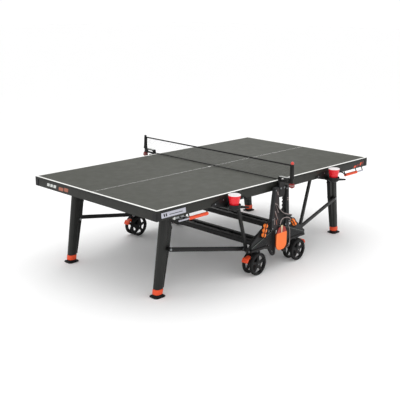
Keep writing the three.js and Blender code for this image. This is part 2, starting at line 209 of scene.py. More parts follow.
SURFACE = finish("charcoal_playing_surface", "464741", 0.6, tint=0.04, cloud=3, spread=0.04,
                 grain=0.22, grain_size=1.6, gloss=0.1)
WHITE_LINE = finish("white_line_paint", "e9e9e6", 0.45, tint=0.03, cloud=9, grain=0.15)
BOARD_EDGE = finish("dark_board_edge", "1d1e1b", 0.55, tint=0.1, cloud=20, grain=0.3)
APRON = finish("charcoal_powder_coat", "232420", 0.45, metal=0.1, tint=0.08, cloud=8, grain=0.3,
               grain_size=0.8)
STEEL = finish("satin_black_powder_coat", "131313", 0.42, metal=0.1, tint=0.12, cloud=10,
               grain=0.35, grain_size=0.8)
LEG = finish("leg_powder_coat", "1d1e1c", 0.42, metal=0.1, tint=0.1, cloud=9, grain=0.35,
             grain_size=0.9)
PLASTIC = finish("moulded_black_plastic", "101011", 0.46, tint=0.1, cloud=14, grain=0.25,
                 grain_size=0.6)
PANEL = finish("grained_grey_plastic", "242526", 0.55, tint=0.08, cloud=16, grain=0.5,
               grain_size=1.1)
RUBBER = finish("black_rubber", "0c0c0c", 0.75, tint=0.15, cloud=18, grain=0.5, grain_size=1.5)
ORANGE = finish("orange_plastic", "e4512c", 0.42, tint=0.05, cloud=12, grain=0.2, grain_size=0.7)
KNOB = finish("red_orange_plastic", "7d1f1c", 0.35, tint=0.06, cloud=12, grain=0.2)
CAP = finish("coral_plastic", "d2483f", 0.34, tint=0.05, cloud=12, grain=0.15)
RED = finish("red_cup_plastic", "e2202c", 0.28, tint=0.04, cloud=9, grain=0.05, coat=0.3)
CUP_WHITE = finish("white_cup_plastic", "f1eeee", 0.3, tint=0.02, cloud=9, grain=0.05, coat=0.3)
DULL = finish("dull_grey_print", "928684", 0.55, tint=0.1, cloud=30, grain=0.2)
RUST = finish("dull_orange_print", "a0604c", 0.5, tint=0.12, cloud=30, grain=0.2)
BROWN = finish("brown_black_plastic", "241b1c", 0.5, tint=0.15, cloud=16, grain=0.25)
# painted highlight: a pale grey standing for light caught along the side panel's top edge
EDGE_HIGHLIGHT_GREY = finish("grey_trim", "6d736d", 0.4, tint=0.08, cloud=20, grain=0.2)
SILVER = finish("brushed_aluminium", "b9bac4", 0.36, metal=0.75, tint=0.08, cloud=30, grain=0.3,
                grain_size=0.8, stretch=(0.05, 1, 1))
ZINC = finish("zinc_plated_steel", "8d9092", 0.34, metal=0.85, tint=0.15, cloud=60, grain=0.2)
PALE = finish("pale_grey_plastic", "c9cbc8", 0.45, tint=0.04, cloud=12, grain=0.15)
BAT_RUBBER = finish("orange_bat_rubber", "ff7a36", 0.5, tint=0.05, cloud=10, grain=0.5,
                    grain_size=2.2)
WOOD = finish("pale_bat_wood", "d9bf9a", 0.5, tint=0.18, cloud=24, grain=0.4, grain_size=2.4,
              stretch=(9, 9, 0.6))
# painted shade: a darker red standing for the shade over the upper part of the bat's rubber
PAINTED_SHADE_RED = finish("deep_red_rubber", "9c3a33", 0.6, tint=0.12, cloud=30, grain=0.3)
BALL = finish("orange_ball_celluloid", "ff8436", 0.38, tint=0.03, cloud=30, grain=0.1)


def woven(name, code, pitch):
    finish = Finish(name, code, 0.8, tint=0.1, cloud=20, grain=0.3)
    _, across, up = finish.axes()
    finish.weave(across, up, pitch, 0.6)
    return finish.material


def netting(name, code, pitch, width):
    """Square netting: opaque threads with nothing between them."""
    finish = Finish(name, code, 0.85, tint=0.1, cloud=30, grain=0.3)
    _, across, up = finish.axes()
    both = finish.maths("MAXIMUM", finish.threads(across, pitch, width), finish.threads(up, pitch, width))
    finish.link(both, "Alpha")
    return finish.material


TAPE = woven("black_woven_tape", "1d1d1d", 0.0022)
NETTING = netting("black_square_netting", "202020", 0.0125, 0.00075)


# ---- shells: closed meshes drawn in millimetres ----
def arc_points(centre, start, finish, steps):
    """Points of the shorter arc about centre, from start to finish."""
    first, last = start - centre, finish - centre
    begin = math.atan2(first.y, first.x)
    turn = (math.atan2(last.y, last.x) - begin + math.pi) % math.tau - math.pi
    radius = first.length
    angles = [begin + turn * i / steps for i in range(steps + 1)]
    return [centre + radius * Vector((math.cos(a), math.sin(a))) for a in angles]


NEARLY_STRAIGHT = math.pi - 0.03
EDGE_SHARE = 0.48  # the most of an edge that one rounded corner may take


def fillet(points, radius, steps=5):
    """A closed 2-D outline with rounded corners: one radius, or one for each corner."""
    points = [Vector(p) for p in points]
    radii = radius if isinstance(radius, (list, tuple)) else [radius] * len(points)
    result = []
    for i, (point, r) in enumerate(zip(points, radii)):
        before, after = points[i - 1] - point, points[(i + 1) % len(points)] - point
        angle = before.angle(after)
        if r <= 0 or angle > NEARLY_STRAIGHT:
            result.append(point)
            continue
        setback = min(r / math.tan(angle / 2), EDGE_SHARE * before.length, EDGE_SHARE * after.length)
        reach = setback / math.cos(angle / 2)
        centre = point + reach * (before.normalized() + after.normalized()).normalized()
        result += arc_points(centre, point + setback * before.normalized(),
                             point + setback * after.normalized(), steps)
    return result


def circle(x, y, radius, steps=24):
    angles = [math.tau * i / steps for i in range(steps)]
    return [Vector((x + radius * math.cos(a), y + radius * math.sin(a))) for a in angles]


def capsule(start, finish, width, ends=(0, 0), steps=10):
    """The outline of a bar with round ends, reaching past its end points by ends."""
    start, finish = Vector(start), Vector(finish)
    along = (finish - start).normalized()
    start, finish = start - ends[0] * along, finish + ends[1] * along
    angle = math.atan2(along.y, along.x)
    result = []
    for centre, turn in ((finish, -math.pi / 2), (start, math.pi / 2)):
        for i in range(steps + 1):
            a = angle + turn + math.pi * i / steps
            result.append(centre + width / 2 * Vector((math.cos(a), math.sin(a))))
    return result


def rounded_rectangle(width, depth, radius, centre=(0, 0)):
    a, b = width / 2, depth / 2
    corners = [(a, b), (-a, b), (-a, -b), (a, -b)]
    return fillet([(x + centre[0], y + centre[1]) for x, y in corners], radius, 8)


def spun(profile, side):
    """A profile of (radius, height) laid on one side of the middle plane."""
    return [(r, side * height) for r, height in profile]


def faced(shell):
    bmesh.ops.recalc_face_normals(shell, faces=shell.faces[:])
    return shell


def cleaned(shell):
    bmesh.ops.remove_doubles(shell, verts=shell.verts[:], dist=WELD)
    return faced(shell)


def moved(shell, *matrices):
    move = Matrix.Identity(4)
    for matrix in matrices:
        move = move @ matrix
    bmesh.ops.transform(shell, matrix=move, verts=shell.verts[:])
    return shell


def from_curve(curve):
    holder = bpy.data.objects.new("outline", curve)
    mesh = bpy.data.meshes.new_from_object(holder)
    shell = bmesh.new()
    shell.from_mesh(mesh)
    bpy.data.objects.remove(holder)
    bpy.data.meshes.remove(mesh)
    bpy.data.curves.remove(curve)
    return cleaned(shell)


WELD = 0.002  # points nearer than this, in millimetres, are one point
STAND = {
    "Z": Matrix.Identity(4),
    "Y": Matrix(((1, 0, 0, 0), (0, 0, 1, 0), (0, 1, 0, 0), (0, 0, 0, 1))),
    "X": Matrix(((0, 0, 1, 0), (1, 0, 0, 0), (0, 1, 0, 0), (0, 0, 0, 1))),
}


def plate(outline, depth, edge=1.5, holes=(), axis="Y", steps=2):
    """A flat shape with rounded edges: its thickness runs along axis, from depth[0] to depth[1]."""
    curve = bpy.data.curves.new("outline", "CURVE")
    curve.dimensions, curve.fill_mode = "2D", "BOTH"
    for loop in (outline, *holes):
        spline = curve.splines.new("POLY")
        spline.points.add(len(loop) - 1)
        for point, (x, y) in zip(spline.points, loop):
            point.co = (x, y, 0, 1)
        spline.use_cyclic_u = True
    curve.extrude = (depth[1] - depth[0]) / 2 - edge
    curve.bevel_depth, curve.bevel_resolution, curve.offset = edge, steps, -edge
    middle = Matrix.Translation((0, 0, (depth[0] + depth[1]) / 2))
    return faced(moved(from_curve(curve), STAND[axis], middle))


def rounded_box(low, high, edge=2.0, steps=3):
    shell = bmesh.new()
    bmesh.ops.create_cube(shell, size=1)
    size = [b - a for a, b in zip(low, high)]
    middle = [(a + b) / 2 for a, b in zip(low, high)]
    bmesh.ops.scale(shell, vec=size, verts=shell.verts[:])
    bmesh.ops.translate(shell, vec=middle, verts=shell.verts[:])
    bmesh.ops.bevel(shell, geom=shell.edges[:], offset=edge, segments=steps, profile=0.5,
                    affect="EDGES", clamp_overlap=True)
    return shell


def lathe(profile, steps=48, centre=(0, 0, 0), axis="Z"):
    """A body of revolution about axis through centre, from a closed outline of (radius, height)."""
    shell = bmesh.new()
    ring = [shell.verts.new((max(r, 0), 0, z)) for r, z in profile]
    for first, second in zip(ring, ring[1:] + ring[:1]):
        if first.co.x > 1e-4 or second.co.x > 1e-4:
            shell.edges.new((first, second))
    bmesh.ops.spin(shell, geom=shell.verts[:] + shell.edges[:], cent=(0, 0, 0), axis=(0, 0, 1),
                   angle=math.tau, steps=steps)
    cleaned(shell)
    bmesh.ops.dissolve_degenerate(shell, edges=shell.edges[:], dist=WELD / 2)
    return faced(moved(shell, Matrix.Translation(centre), STAND[axis]))


def aim(direction):
    """The turn that lays +Z along direction."""
    return Vector((0, 0, 1)).rotation_difference(direction).to_matrix().to_4x4()


def rod(start, finish, radius, edge=1.0, steps=32):
    """A straight round bar with softened ends."""
    start, finish = Vector(start), Vector(finish)
    length = (finish - start).length
    outline = fillet([(0, 0), (radius, 0), (radius, length), (0, length)], [0, edge, edge, 0], 3)
    return moved(lathe(outline, steps), Matrix.Translation(start), aim(finish - start))


def softened(points, setback, steps=6):
    """A 3-D path with its corners rounded."""
    points = [Vector(p) for p in points]
    setbacks = setback if isinstance(setback, (list, tuple)) else [setback] * (len(points) - 2)
    path = [points[0]]
    for i, back in enumerate(setbacks, 1):
        corner = points[i]
        to_last, to_next = points[i - 1] - corner, points[i + 1] - corner
        back = min(back, 0.49 * to_last.length if i > 1 else to_last.length,
                   0.49 * to_next.length if i < len(setbacks) else to_next.length)
        begin, end = corner + back * to_last.normalized(), corner + back * to_next.normalized()
        for k in range(steps + 1):
            t = k / steps
            path.append((1 - t) ** 2 * begin + 2 * t * (1 - t) * corner + t * t * end)
    return path + [points[-1]]


def tube(points, radius, setback=0, sides=5):
    """A round bar along a path with rounded bends."""
    path = softened(points, setback) if setback else [Vector(p) for p in points]
    curve = bpy.data.curves.new("tube", "CURVE")
    curve.dimensions = "3D"
    spline = curve.splines.new("POLY")
    spline.points.add(len(path) - 1)
    for point, place in zip(spline.points, path):
        point.co = (*place, 1)
    curve.bevel_depth, curve.bevel_resolution, curve.use_fill_caps = radius, sides, True
    return from_curve(curve)


def loft(rings):
    """A closed skin over rings of points that correspond one to one."""
    shell = bmesh.new()
    rows = [[shell.verts.new(p) for p in ring] for ring in rings]
    for low, high in zip(rows, rows[1:]):
        for i in range(len(low)):
            shell.faces.new((low[i - 1], low[i], high[i], high[i - 1]))
    shell.faces.new(rows[0])
    shell.faces.new(rows[-1])
    return faced(shell)


def ball(centre, radius, rings=24):
    outline = [(radius * math.sin(math.pi * i / rings), -radius * math.cos(math.pi * i / rings))
               for i in range(rings + 1)]
    return lathe(outline, 2 * rings, centre)


def in_scene(name, data):
    thing = bpy.data.objects.new(name, data)
    bpy.context.scene.collection.objects.link(thing)
    return thing


def as_object(name, shell, materials):
    mesh = bpy.data.meshes.new(name)
    shell.to_mesh(mesh)
    shell.free()
    for material in materials:
        mesh.materials.append(material)
    return in_scene(name, mesh)


class Piece:
    """Shells gathered into one mesh, placed on a CAD body as one object."""

    def __init__(self, *materials):
        self.mesh, self.materials = bmesh.new(), materials

    def add(self, shell, slot=0):
        if slot is not None:
            for face in shell.faces:
                face.material_index = slot
        passing = bpy.data.meshes.new("passing")
        shell.to_mesh(passing)
        shell.free()
        self.mesh.from_mesh(passing)
        bpy.data.meshes.remove(passing)
        return self

    def plates(self, points, radii, depth, edge=1.5, slot=0, corners=5, **more):
        """A plate whose outline has rounded corners."""
        return self.add(plate(fillet(points, radii, corners), depth, edge, **more), slot)

    def bolts(self, centres, radius, height, slot, axis="Y", sign=1):
        """Hexagonal bolt heads on washers, facing along axis."""
        for x, y, z in centres:
            flat, out = {"Y": ((x, z), y), "Z": ((x, y), z)}[axis]
            for outline, reach, edge in ((circle(*flat, radius, 6), height, min(0.8, height / 3)),
                                         (circle(*flat, 1.35 * radius, 28), 0.3 * height, 0.3)):
                depth = sorted((out - sign * 0.4, out + sign * reach))
                self.add(plate(outline, depth, edge, axis=axis), slot)
        return self

    def stripes(self, face, blocks, slant, raised=0.8):
        """Slanted flat blocks laid on a face: each is (start, end, low, high, material)."""
        origin, across, up = (Vector(v) for v in face)
        lay = Matrix((across, up, across.cross(up))).transposed().to_4x4()
        for begin, end, low, high, slot in blocks:
            shift = slant * (high - low)
            loop = [(begin, low), (end, low), (end + shift, high), (begin + shift, high)]
            flat = plate(fillet(loop, 2.5, 3), (-0.3, raised), 0.25, axis="Z", steps=1)
            self.add(faced(moved(flat, Matrix.Translation(origin), lay)), slot)
        return self

    def place(self, name, body, slot, sx=1, sy=1, at=(0, 0), stands_for=()):
        """at is the place of the drawing's origin, in millimetres, before mirroring."""
        copy = self.mesh.copy()
        move = Matrix.Diagonal((sx * MM, sy * MM, MM, 1)) @ Matrix.Translation((*at, 0))
        bmesh.ops.transform(copy, matrix=move, verts=copy.verts[:])
        if sx * sy < 0:
            bmesh.ops.reverse_faces(copy, faces=copy.faces[:])
        piece = as_object(name, copy, self.materials)
        piece.data.polygons.foreach_set("use_smooth", [True] * len(piece.data.polygons))
        piece.data.set_sharp_from_angle(angle=SHARP_ANGLE)
        shading = piece.modifiers.new("shading", "WEIGHTED_NORMAL")
        shading.keep_sharp = True
        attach(piece, body)
        if stands_for:
            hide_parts(*stands_for)
        return piece

    def everywhere(self, name, body, slot, at=(0, 0), stands_for=None):
        """One copy in each quarter; {} in the names stands for left_near and so on."""
        for half, sx in HALVES.items():
            for side, sy in SIDES.items():
                quarter = f"{half}_{side}"
                nodes = [stands_for.format(quarter)] if stands_for else ()
                self.place(name.format(quarter), body.format(quarter, half=half), slot, sx, sy, at, nodes)

    def both_halves(self, name, body, slot, stands_for=None):
        for half, sx in HALVES.items():
            nodes = [stands_for.format(half)] if stands_for else ()
            self.place(name.format(half), body.format(half), slot, sx, 1, (0, 0), nodes)


# ---- half tables ----
def half_board():
    """The playing board, cut along its painted lines."""
    corners = [(INNER_X, -EDGE_Y), (END_X, -EDGE_Y), (END_X, EDGE_Y), (INNER_X, EDGE_Y)]
    shell = plate(fillet(corners, [1.5, 12, 12, 1.5], 8), (UNDER_Z, TOP_Z), 1.2, axis="Z")
    cuts = [((END_X - LINE_WIDTH, 0, 0), (1, 0, 0))]
    for y in (EDGE_Y - LINE_WIDTH, CENTRE_LINE / 2):
        cuts += [((0, y, 0), (0, 1, 0)), ((0, -y, 0), (0, 1, 0))]
    for point, normal in cuts:
        bmesh.ops.bisect_plane(shell, geom=shell.verts[:] + shell.edges[:] + shell.faces[:],
                               plane_co=point, plane_no=normal)
    shell.normal_update()
    for face in shell.faces:
        x, y, _ = face.calc_center_median()
        lined = x > END_X - LINE_WIDTH or abs(y) > EDGE_Y - LINE_WIDTH or abs(y) < CENTRE_LINE / 2
        face.material_index = 2 if face.normal.z < 0.3 else int(lined)
    return Piece(SURFACE, WHITE_LINE, BOARD_EDGE).add(shell, None)


def corner_cap():
    out_x, out_y, arm, thick = END_X - 0.3, EDGE_Y - 0.3, 46, APRON_END_X
    inner_y = APRON_Y + 0.2
    outline = fillet(
        [(END_X - arm, out_y), (out_x, out_y), (out_x, EDGE_Y - arm), (thick + 0.2, EDGE_Y - arm),
         (thick + 0.2, inner_y), (END_X - arm, inner_y)],
        [0.6, 10, 0.6, 0.6, 0.2, 0.6], 8)
    piece = Piece(PLASTIC, STEEL)
    piece.add(plate(outline, (APRON_LOW_Z + 1, UNDER_Z - 0.4), 0.5, axis="Z"))
    for z in (696, 724):
        piece.add(lathe([(0, 0), (4.5, 0), (3.6, 0.8), (0, 0.9)], 20, (END_X - 34, out_y - 0.6, z), "Y"), 1)
    return piece


for half, sx in HALVES.items():
    half_board().place(f"board_{half}", f"half_table_{half}", "playing_surface", sx,
                       stands_for=[f"playing_top_{half}"])
    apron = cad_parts[f"apron_frame_{half}"]
    for place in apron.material_slots:
        place.material = APRON
    softening = apron.modifiers.new("softening", "BEVEL")
    softening.width, softening.segments = 1.2 * MM, 2
    softening.limit_method, softening.angle_limit = "ANGLE", math.radians(50)
    softening.harden_normals = True
corner_cap().everywhere("corner_cap_{}", "half_table_{half}", "black_plastic")

# end apron of the left half: plain slanted blocks near the far corner
end_face = (-APRON_END_X, 0, 0), (0, -1, 0), (0, 0, 1)
Piece(PALE, RUST).stripes(
    end_face, [(-592, -556, 703, 728, 0), (-546, -512, 703, 728, 0), (-502, -466, 703, 728, 0),
               (-428, -366, 696, 724, 1), (-354, -300, 700, 730, 1)], 0.25,
).place("end_stripes_left", "half_table_left", "orange_plastic")

# near apron: a plain name plate without a name, a catch under it, and stripes on the right half
PLAQUE_RAISED = 1.4
near_face, plaque_face = (((0, y, 0), (1, 0, 0), (0, 0, 1)) for y in (-APRON_Y, -APRON_Y - PLAQUE_RAISED))
plaque = Piece(SILVER, PLASTIC, ZINC, PALE)
plaque.stripes(near_face, [(-1320, -1076, 696, 736, 0)], -0.16, PLAQUE_RAISED)
plaque.stripes(plaque_face, [(-1296, -1284, 704, 728, 1), (-1276, -1264, 704, 728, 1),
                             (-1244, -1110, 711, 716, 1)], -0.3, 0.5)
for begin, end in ((-1178, -1142), (-1121, -1096)):
    plaque.add(rounded_box((begin, -759, 664), (end, -741, 682), 3), 2)
plaque.add(rounded_box((-1196, -762, 662), (-1184, -744, 684), 3), 3)
plaque.place("apron_plate_left", "half_table_left", "charcoal_apron")

Piece(ORANGE, KNOB).stripes(
    near_face, [(1140, 1176, 690, 708, 0), (1190, 1216, 694, 716, 1), (1240, 1262, 698, 726, 0),
                (1278, 1296, 702, 730, 1)], 0.5,
).place("side_stripes_right", "half_table_right", "orange_plastic")


# ---- axles ----
guide_axle = Piece(ZINC, STEEL)
guide_axle.add(rod((GUIDE[0], -762, GUIDE[1]), (GUIDE[0], 762, GUIDE[1]), 10), 1)
guide_axle.add(rod((GUIDE[0], -773, GUIDE[1]), (GUIDE[0], 773, GUIDE[1]), 7))
for y in (-764.6, 763.4):
    guide_axle.add(lathe([(6, 0), (9.6, 0), (9.6, 1.2), (6, 1.2)], 32, (GUIDE[0], y, GUIDE[1]), "Y"))
guide_axle.both_halves("guide_bar_{}", "guide_{}", "satin_black_steel", "guide_axle_{}")

leg_axle = Piece(STEEL, ZINC)
leg_axle.add(rod((LEG_PIVOT[0], -620, LEG_PIVOT[1]), (LEG_PIVOT[0], 620, LEG_PIVOT[1]), 12))
for side in (-1, 1):
    leg_axle.bolts([(LEG_PIVOT[0], side * 618, LEG_PIVOT[1])], 8, 3.6, 1, sign=side)
leg_axle.both_halves("leg_bar_{}", "legs_{}", "satin_black_steel", "leg_axle_{}")


# ---- legs ----
def lean(z):
    """The x of the leg's middle line at height z: the leg splays outward as it goes down."""
    return LEG_MIDDLE_X + LEG_SPLAY * (LEG_PIVOT[1] - z)


def leaning_ring(width, depth, corner, z):
    return [(p.x + lean(z), p.y + LEG_Y, z) for p in rounded_rectangle(width, depth, corner)]


def leg():
    piece = Piece(LEG, STEEL, ZINC, PLASTIC)
    width, depth = LEG_SIZE
    low = COLLAR_Z[1] + 0.3
    levels = [(low, 2.0), (low + 1, 0.5), (low + 2.5, 0), (LEG_TOP_Z - 6, 0), (LEG_TOP_Z - 2.5, 1),
              (LEG_TOP_Z - 0.8, 3), (LEG_TOP_Z, 6)]
    piece.add(loft([leaning_ring(width - 2 * i, depth - 2 * i, 25 - i, z) for z, i in levels]))
    # the thinner fin on the inner side
    fin = [(1168, low + 1), (1126, low + 1), (1057, 410), (1040, 524), (1056, 562), (1062, 668), (1096, 668)]
    piece.plates(fin, [1, 6, 30, 14, 20, 10, 1], (LEG_Y - 19, LEG_Y + 19), 3.5, corners=6, steps=3)
    # painted shade: thin black tubes standing for the shadow line between the post and the fin
    for y in (LEG_Y - 21.4, LEG_Y + 21.4):
        piece.add(tube([(lean(z) - 33, y, z) for z in (110, 300, 500, 640)], 1.6, 0, 3), 3)
    # cap over the fin's shoulder
    piece.plates([(1046, 556), (1059, 668), (1066, 668), (1062, 556), (1044, 514), (1038, 524)], 3,
                 (LEG_Y - 20.5, LEG_Y + 20.5), 1.6, 3, 4)
    # lug for the strut's eye, with its bolt
    x, z = STRUT_TOP
    piece.add(rod((x, LEG_Y + 20, z), (x, 590.5, z), 15, 1.5), 1)
    piece.bolts([(x, 590.3, z)], 7, 2, 2)
    piece.bolts([(x, LEG_Y - depth / 2, z)], 8, 4.5, 2, sign=-1)
    # sleeve round the pivot
    x, z = LEG_PIVOT
    piece.add(rod((x, LEG_Y - 38, z), (x, LEG_Y + 38, z), 17, 2), 1)
    return piece


leg().everywhere("leg_post_{}", "legs_{half}", "satin_black_steel", stands_for="leg_{}")

collar = Piece(ORANGE)
width, depth = LEG_SIZE[0] + 5, LEG_SIZE[1] + 5
levels = [(COLLAR_Z[0], 5), (COLLAR_Z[0] + 1, 2.2), (COLLAR_Z[0] + 4, 0), (34.5, 0), (35.2, 1), (36.8, 1),
          (37.5, 0), (COLLAR_Z[1] - 4, 0), (COLLAR_Z[1] - 1.2, 1), (COLLAR_Z[1], 3.4)]
collar.add(loft([leaning_ring(width - 2 * i, depth - 2 * i, 27 - i, z) for z, i in levels]))
collar.everywhere("collar_{}", "levelling_foot_{}", "orange_plastic", stands_for="levelling_collar_{}")

pad = Piece(RUBBER, ZINC)
pad.add(plate(rounded_rectangle(108, 94, 26, (PAD_X, LEG_Y)), (0, 9), 3, axis="Z", steps=4))
skirt = [(8, 84, 72), (10, 80, 68), (15, 77, 65), (20, 76, 64), (21.6, 72, 60)]
pad.add(loft([[(p.x, p.y, z) for p in rounded_rectangle(w, d, 22, (PAD_X - 2, LEG_Y))]
              for z, w, d in skirt]))
pad.add(rod((STEM_X, LEG_Y, 15), (STEM_X, LEG_Y, 112), 8.6), 1)
pad.everywhere("pad_{}", "levelling_foot_{}", "black_rubber", stands_for="foot_pad_{}")


# ---- folding bars ----
prop = Piece(STEEL, ZINC)
prop.add(plate(capsule(BASE_PIN, PROP_TOP, 28), (722, 744), 4, steps=3))
for (x, z), radius in ((BASE_PIN, 20), (PROP_TOP, 16)):
    prop.add(rod((x, 722.2, z), (x, 743.8, z), radius, 2))
    prop.bolts([(x, 743.6, z)], 0.45 * radius, 3, 1)
prop.bolts([(PROP_TOP[0], 722.4, PROP_TOP[1])], 7, 3.5, 1, sign=-1)
prop.everywhere("prop_{}", "top_prop_{}", "satin_black_steel", stands_for="top_prop_{}")

strut = Piece(STEEL, ZINC)
base, tip = Vector((BASE_PIN[0], 700, BASE_PIN[1])), Vector((STRUT_TOP[0], 604, STRUT_TOP[1]))
run = (tip - base).normalized()
level = Vector((0, 0, 1)).cross(run).normalized()
upward = run.cross(level)
bar_rings = []
for spot, inset in ((14, 3), (14.8, 1), (17, 0), (-17, 0), (-14.8, 1), (-14, 3)):
    centre = (base if spot > 0 else tip) + spot * run
    bar_rings.append([centre + p.x * level + p.y * upward
                      for p in rounded_rectangle(20 - 2 * inset, 36 - 2 * inset, 9 - inset)])
strut.add(loft(bar_rings))
strut.add(rod((base.x, 693, base.z), (base.x, 707, base.z), 20, 2))
strut.add(rod((tip.x, 592, tip.z), (tip.x, 614, tip.z), 17, 2))
strut.bolts([(tip.x, 613.8, tip.z)], 8, 4, 1)
strut.everywhere("strut_{}", "leg_strut_{}", "satin_black_steel", stands_for="leg_strut_{}")


# ---- casters, drawn about the swivel axis ----
def wheels():
    x, z = AXLE
    piece = Piece(RUBBER, PLASTIC, ZINC)
    tread = [(78, 30), (84, 27.2), (92, 28), (96, 33), (96, 37), (94.6, 38), (94.6, 39), (96, 40), (96, 41),
             (94.6, 42), (94.6, 43), (96, 44), (96, 48), (92, 52), (84, 52.8), (78, 50)]
    band = [(72, 30), (80, 29), (80, 51), (75, 51), (73.6, 46), (73.6, 34)]
    boss = [(0, 27), (24, 27), (27, 30), (27, 48), (24, 51), (15, 51), (13, 53), (0, 53)]
    spokes, rim, hub = 5, 77, 27
    step = math.tau / spokes
    windows = []
    for i in range(spokes):
        middle = (i + 0.5) * step + math.pi / 2
        corners = [(rim, -0.4), (rim, -0.2), (rim, 0), (rim, 0.2), (rim, 0.4),
                   (hub + 8, 0.2), (hub + 6, 0), (hub + 8, -0.2)]
        loop = [(x + r * math.cos(middle + a * step), z + r * math.sin(middle + a * step))
                for r, a in corners]
        windows.append(fillet(loop, [7, 30, 30, 30, 7, 5, 6, 5], 4))
    for side in (1, -1):
        piece.add(lathe(spun(tread, side), 72, (x, 0, z), "Y"))
        piece.add(plate(circle(x, z, 80, 72), sorted((side * 33, side * 46)), 1.5, windows), 1)
        piece.add(lathe(spun(band, side), 72, (x, 0, z), "Y"), 1)
        piece.add(lathe(spun(boss, side), 40, (x, 0, z), "Y"), 1)
        for i in range(spokes):
            angle = i * step + math.pi / 2
            rib = [(x + r * math.cos(angle), side * 46, z + r * math.sin(angle)) for r in (25, 75)]
            piece.add(rod(*rib, 3.2, 1, 12), 1)
        piece.bolts([(x, side * 52.6, z)], 6.5, 0.9, 2, sign=side)
    piece.add(rod((x, -40, z), (x, 40, z), 8), 2)
    return piece


wheels().everywhere("wheels_{}", "wheels_{}", "wheel_black", CASTER, "wheel_pair_{}")


def fork():
    piece = Piece(PLASTIC, ZINC)
    cheek = [(-34, 192), (-30, 196), (40, 196), (84, 172), (86, 150), (62, 140), (44, 80), (16, 66),
             (-8, 80), (-26, 160)]
    rounded = fillet(cheek, [3, 3, 10, 10, 8, 12, 16, 14, 14, 14], 5)
    core = fillet([(-33, 192), (-28, 196), (40, 196), (54, 186), (54, 130), (40, 84), (16, 70), (-6, 84),
                   (-25, 160)], 6, 4)
    for ys in ((15, 25), (-25, -15)):
        piece.add(plate(rounded, ys, 2.5, steps=3))
    piece.add(plate(core, (-15.5, 15.5), 0.6))
    for side in (1, -1):
        piece.plates([(-18, 182), (44, 182), (60, 168), (46, 132), (34, 92), (14, 82), (0, 92), (-14, 150)],
                     8, sorted((side * 24.6, side * 25.6)), 0.4, corners=4)
        piece.bolts([(PEDAL_PIVOT[0], side * 25, PEDAL_PIVOT[1])], 5, 1.6, 1, sign=side)
    piece.add(lathe([(0, 190), (26, 190), (26, 194), (23, 196), (23, 198), (26, 200), (26, 203), (0, 203)],
                    48), 1)
    piece.add(lathe([(0, 196), (10, 196), (10, 229), (8.5, 231), (0, 231)], 32), 1)
    x, z = PEDAL_PIVOT
    piece.add(rod((x, -23, z), (x, 23, z), 5), 1)
    return piece


fork().everywhere("fork_{}", "caster_{}", "black_plastic", CASTER, "caster_fork_{}")


def pedal():
    piece = Piece(ORANGE)
    arm = fillet([(62, 152), (62, 168), (80, 172), (120, 162), (120, 146), (78, 150)], [7, 7, 6, 3, 3, 6], 5)
    tread = fillet([(114, 163.5), (128, 159), (142, 130), (134, 123), (114, 148)], [3, 7, 5, 5, 3], 5)
    piece.add(plate(arm, (-19, 19), 2.5, steps=3))
    piece.add(plate(tread, (-30, 30), 3, steps=3))
    begin, end = Vector((130.5, 155.5)), Vector((141, 133))
    for i in range(5):
        spot = begin.lerp(end, (i + 0.4) / 5)
        piece.add(rod((spot.x, -24, spot.y), (spot.x, 24, spot.y), 1.5, 0.6, 10))
    return piece


pedal().everywhere("pedal_{}", "brake_{}", "orange_plastic", CASTER, "brake_pedal_{}")


# ---- chassis: ladders, side frames and panels ----
ladder = Piece(STEEL, PLASTIC, ZINC)
for xs, zs in (((257, 302), (250, 292)), ((178, 222), (252, 294))):
    ladder.add(rounded_box((xs[0], -765.5, zs[0]), (xs[1], 765.5, zs[1]), 5))
for y in (-420, 0, 420):
    ladder.add(rounded_box((219, y - 20, 256), (260, y + 20, 288), 3))
for sy in (-1, 1):
    low, high = sorted((sy * 712, sy * 765.5))
    ladder.add(rounded_box((222, low, 212), (290, high, 256), 5), 1)
    ladder.add(lathe([(11.4, 207), (30, 207), (32, 209), (32, 214), (11.4, 214)], 40,
                     (CASTER[0], sy * (CASTER[1] - 12), 0)), 1)
    ladder.bolts([(x, sy * 722, 212.4) for x in (239, 273)], 5, 3, 2, "Z", -1)
ladder.both_halves("ladder_{}", "chassis", "satin_black_steel", "chassis_ladder_{}")


def guide_arm(wide, slot, opening):
    """Outline of the slotted guide arm; its inner wall is left open over part of its length."""
    start, along = Vector(GUIDE), Vector(SLOT_END) - Vector(GUIDE)
    length = along.length
    along.normalize()
    inward = Vector((along.y, -along.x))

    def spot(run, offset):
        return start + run * along + offset * inward

    def arc(run, radius, first, last):
        return [spot(run + radius * math.cos(a), radius * math.sin(a))
                for a in (math.radians(first + (last - first) * i / 10) for i in range(11))]

    return ([spot(opening[0], wide)] + arc(-2, wide, 90, 270) + arc(length, wide, -90, 90)
            + [spot(opening[1], wide), spot(opening[1], slot)] + arc(length, slot, 90, -90)
            + arc(0, slot, 270, 90) + [spot(opening[0], slot)])


